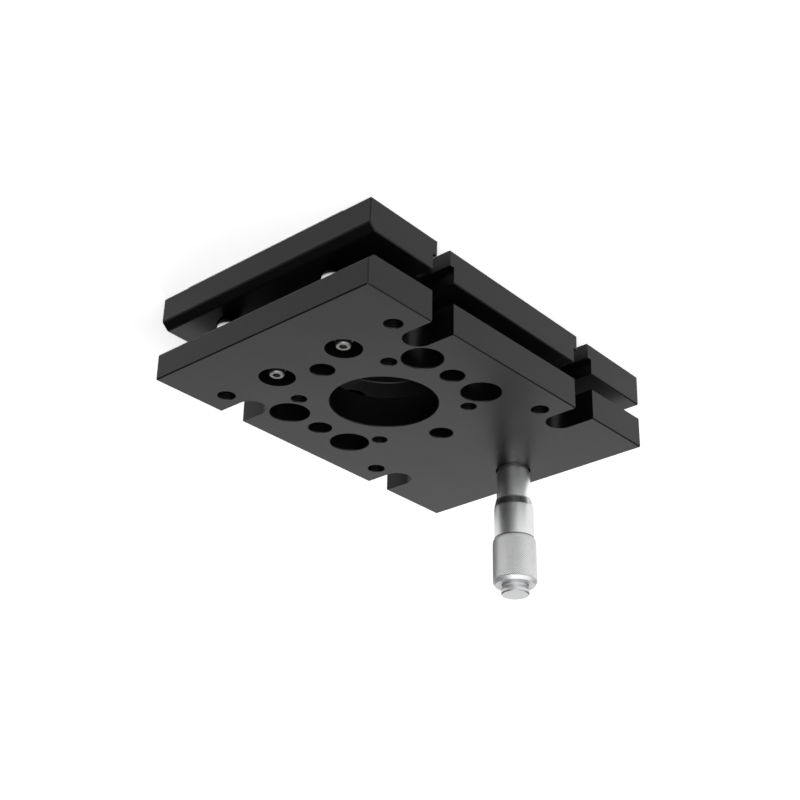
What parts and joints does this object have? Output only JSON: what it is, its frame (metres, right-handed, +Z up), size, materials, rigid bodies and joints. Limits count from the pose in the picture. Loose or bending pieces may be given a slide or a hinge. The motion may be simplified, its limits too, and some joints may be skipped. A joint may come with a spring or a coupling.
{
  "type": "single-axis tilt stage",
  "caption": "Single-axis tilt stage: black base and top plates on a ball hinge, tilted by an upright micrometer, with a light aperture, open table slots and mounting holes.",
  "frame": {"origin": "on the axis of the light aperture, at the underside of the base plate", "axes": "+X along the plates from the ball hinge toward the micrometer, +Z up out of the base plate, +Y across the plates by the right-hand rule"},
  "size_m": [0.1439, 0.095, 0.0768],
  "materials": {
    "black_anodised": "satin black anodised",
    "hardened_steel": "ground hardened steel",
    "polished_ball": "polished",
    "stainless": "bright stainless",
    "spring_steel": "drawn wire",
    "satin_sleeve": "satin chrome",
    "ground_steel": "ground",
    "brass_nut": "turned",
    "satin_chrome": "satin chrome",
    "knurled_chrome": "knurled satin chrome"
  },
  "bodies": {
    "base": {"base_plate": "black_anodised", "base_seat_left": "hardened_steel", "base_seat_right": "hardened_steel", "pivot_ball_left": "polished_ball", "pivot_ball_right": "polished_ball", "preload_screw_left": "stainless", "preload_screw_right": "stainless", "preload_washer_left": "stainless", "preload_washer_right": "stainless", "contact_pad": "hardened_steel"},
    "top": {"top_plate": "black_anodised", "cone_seat": "hardened_steel", "vee_seat": "hardened_steel", "micrometer_barrel": "satin_sleeve", "adjusting_nut": "brass_nut", "barrel_set_screw": "stainless", "preload_spring_left": "spring_steel", "preload_spring_right": "spring_steel"},
    "spindle": {"spindle": "ground_steel", "spindle_tip_ball": "polished_ball"},
    "thimble": {"thimble": "satin_chrome", "knurled_grip": "knurled_chrome", "end_cap": "satin_chrome", "thimble_screw": "stainless"}
  },
  "joints": [
    {"name": "tilt", "type": "hinge", "parent": "base", "child": "top", "pos_m": [-0.05, 0, 0.0155], "axis": [0, -1, 0], "range_deg": [0, 4.96], "deforming": ["preload_spring_left", "preload_spring_right"]},
    {"name": "spindle_feed", "type": "slide", "parent": "top", "child": "spindle", "axis": [-0.0201, 0, -0.9998], "range_m": [0, 0.0105]},
    {"name": "thimble_turn", "type": "hinge", "parent": "spindle", "child": "thimble", "pos_m": [0.07144, 0, 0.02857], "axis": [-0.0201, 0, -0.9998], "range_deg": [0, 7562]}
  ],
  "couplings": [
    {"joint": "thimble_turn", "follows": "spindle_feed", "rad_per_m": 12566},
    {"joint": "tilt", "follows": "spindle_feed", "rad_per_m": 8.2416}
  ]
}
